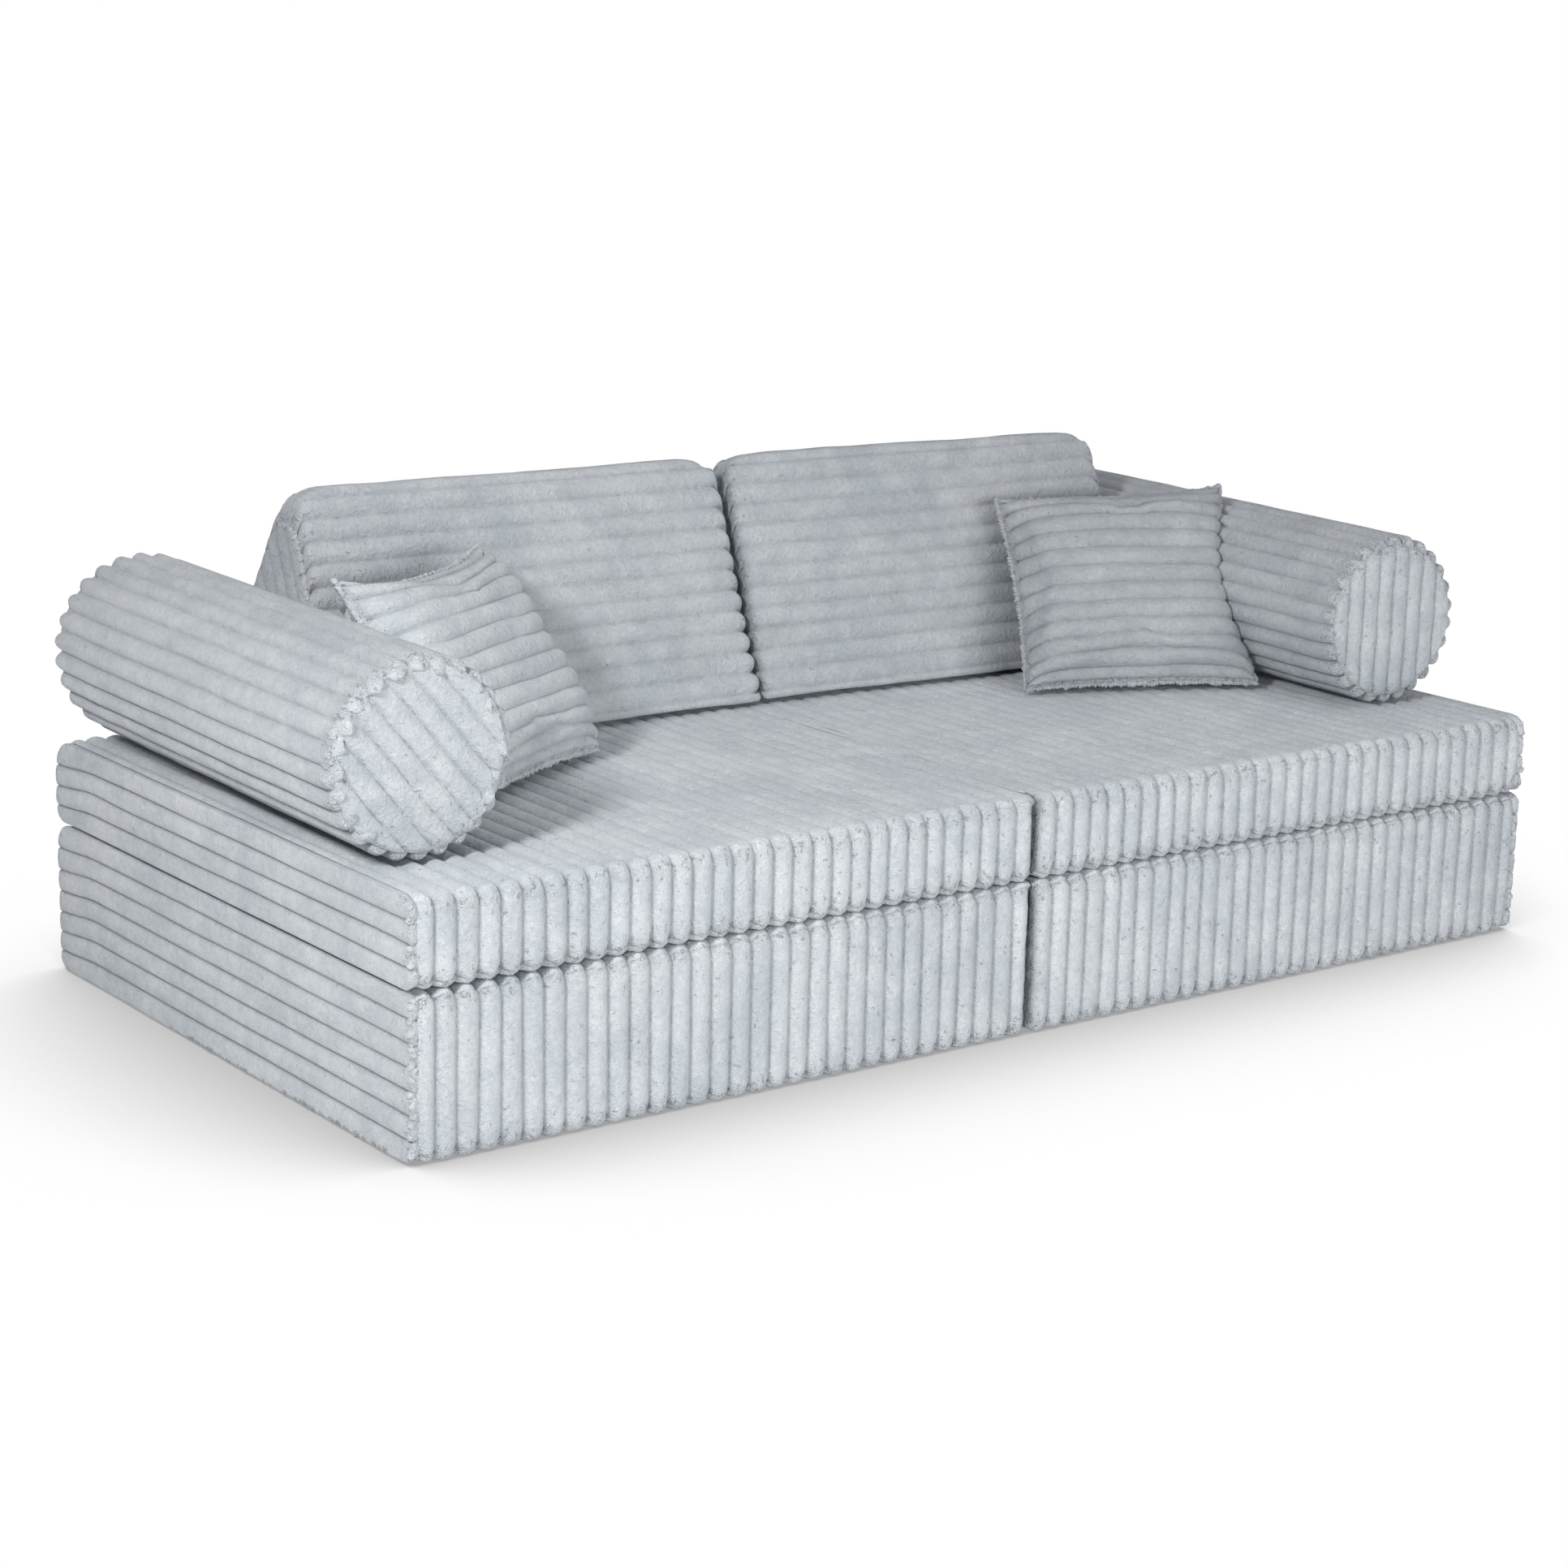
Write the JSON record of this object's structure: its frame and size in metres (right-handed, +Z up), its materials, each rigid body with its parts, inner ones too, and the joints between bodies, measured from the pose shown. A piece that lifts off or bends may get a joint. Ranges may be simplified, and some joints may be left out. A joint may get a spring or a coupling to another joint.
{
  "type": "modular foam play sofa",
  "caption": "Low play sofa of quilted plush foam blocks: a fold-out seat on base blocks, with wedge backs, round bolsters and throw pillows.",
  "frame": {"origin": "middle of the whole sofa's footprint, on the floor", "axes": "+Z up, +Y from the front edge to the back cushions, +X to the right seen from the front"},
  "size_m": [1.7574, 0.892, 0.5997],
  "materials": {
    "plush": "soft ribbed pile",
    "foam": "open-cell foam",
    "fibre": "bonded fibre fill",
    "zip_tape": "woven tape",
    "zinc": "satin"
  },
  "bodies": {
    "base_left": {"base_left_cover": "plush", "base_left_foam": "foam", "base_left_zip": "zip_tape"},
    "base_right": {"base_right_cover": "plush", "base_right_foam": "foam", "base_right_zip": "zip_tape"},
    "seat_left": {"seat_left_cover": "plush", "seat_left_foam": "foam", "seat_left_zip": "zip_tape", "seat_hinge_strip": "plush"},
    "seat_right": {"seat_right_cover": "plush", "seat_right_foam": "foam", "seat_right_zip": "zip_tape"},
    "bolster_left": {"bolster_left_cover": "plush", "bolster_left_foam": "foam", "bolster_left_zip": "zip_tape"},
    "bolster_right": {"bolster_right_cover": "plush", "bolster_right_foam": "foam", "bolster_right_zip": "zip_tape"},
    "back_left": {"back_left_cover": "plush", "back_left_foam": "foam", "back_left_zip": "zip_tape"},
    "back_right": {"back_right_cover": "plush", "back_right_foam": "foam", "back_right_zip": "zip_tape"},
    "pillow_left": {"pillow_left_cover": "plush", "pillow_left_insert": "fibre", "pillow_left_zip": "zip_tape"},
    "pillow_right": {"pillow_right_cover": "plush", "pillow_right_insert": "fibre", "pillow_right_zip": "zip_tape"},
    "base_left_zip_slider": {"base_left_zip_slider": "zinc"},
    "base_right_zip_slider": {"base_right_zip_slider": "zinc"},
    "seat_left_zip_slider": {"seat_left_zip_slider": "zinc"},
    "seat_right_zip_slider": {"seat_right_zip_slider": "zinc"},
    "bolster_left_zip_slider": {"bolster_left_zip_slider": "zinc"},
    "bolster_right_zip_slider": {"bolster_right_zip_slider": "zinc"},
    "back_left_zip_slider": {"back_left_zip_slider": "zinc"},
    "back_right_zip_slider": {"back_right_zip_slider": "zinc"},
    "pillow_left_zip_slider": {"pillow_left_zip_slider": "zinc"},
    "pillow_right_zip_slider": {"pillow_right_zip_slider": "zinc"}
  },
  "joints": [
    {"name": "base_slide", "type": "slide", "parent": "base_left", "child": "base_right", "axis": [1, 0, 0], "range_m": [0, 0.5]},
    {"name": "seat_lift", "type": "slide", "parent": "base_left", "child": "seat_left", "axis": [0, 0, 1], "range_m": [0, 0.35]},
    {"name": "seat_fold", "type": "hinge", "parent": "seat_left", "child": "seat_right", "pos_m": [-0.00734, -0.01755, 0.292], "axis": [0, -1, 0], "range_deg": [0, 180]},
    {"name": "bolster_left_lift", "type": "slide", "parent": "seat_left", "child": "bolster_left", "axis": [0, 0, 1], "range_m": [0, 1.9]},
    {"name": "bolster_right_lift", "type": "slide", "parent": "seat_left", "child": "bolster_right", "axis": [0, 0, 1], "range_m": [0, 2.84]},
    {"name": "back_left_lift", "type": "slide", "parent": "bolster_left", "child": "back_left", "axis": [0, 0.5, 0.866], "range_m": [0, 0.35]},
    {"name": "back_right_lift", "type": "slide", "parent": "bolster_right", "child": "back_right", "axis": [0.0218, 0.4995, 0.866], "range_m": [0, 0.35]},
    {"name": "pillow_left_lift", "type": "slide", "parent": "bolster_left", "child": "pillow_left", "axis": [0.4698, -0.8138, 0.342], "range_m": [0, 0.3]},
    {"name": "pillow_right_lift", "type": "slide", "parent": "bolster_right", "child": "pillow_right", "axis": [-0.3777, -0.8604, 0.342], "range_m": [0, 0.3]},
    {"name": "base_left_zip_pull", "type": "slide", "parent": "base_left", "child": "base_left_zip_slider", "axis": [1, 0, 0], "range_m": [0, 0.493]},
    {"name": "base_right_zip_pull", "type": "slide", "parent": "base_right", "child": "base_right_zip_slider", "axis": [1, 0, 0], "range_m": [0, 0.493]},
    {"name": "seat_left_zip_pull", "type": "slide", "parent": "seat_left", "child": "seat_left_zip_slider", "axis": [1, 0, 0], "range_m": [0, 0.493]},
    {"name": "seat_right_zip_pull", "type": "slide", "parent": "seat_right", "child": "seat_right_zip_slider", "axis": [1, 0, 0], "range_m": [0, 0.493]},
    {"name": "bolster_left_zip_pull", "type": "slide", "parent": "bolster_left", "child": "bolster_left_zip_slider", "axis": [0.0297, 0.9996, 0], "range_m": [0, 0.433]},
    {"name": "bolster_right_zip_pull", "type": "slide", "parent": "bolster_right", "child": "bolster_right_zip_slider", "axis": [0.0663, 0.9978, 0], "range_m": [0, 0.433]},
    {"name": "back_left_zip_pull", "type": "slide", "parent": "back_left", "child": "back_left_zip_slider", "axis": [1, 0, 0], "range_m": [0, 0.373]},
    {"name": "back_right_zip_pull", "type": "slide", "parent": "back_right", "child": "back_right_zip_slider", "axis": [0.999, -0.0436, 0], "range_m": [0, 0.373]},
    {"name": "pillow_left_zip_pull", "type": "slide", "parent": "pillow_left", "child": "pillow_left_zip_slider", "axis": [0.866, 0.5, 0], "range_m": [0, 0.113]},
    {"name": "pillow_right_zip_pull", "type": "slide", "parent": "pillow_right", "child": "pillow_right_zip_slider", "axis": [0.9157, -0.4019, 0], "range_m": [0, 0.113]}
  ],
  "couplings": [
    {"joint": "bolster_left_lift", "follows": "seat_fold", "m_per_rad": 0.6},
    {"joint": "bolster_right_lift", "follows": "seat_fold", "m_per_rad": 0.9}
  ]
}
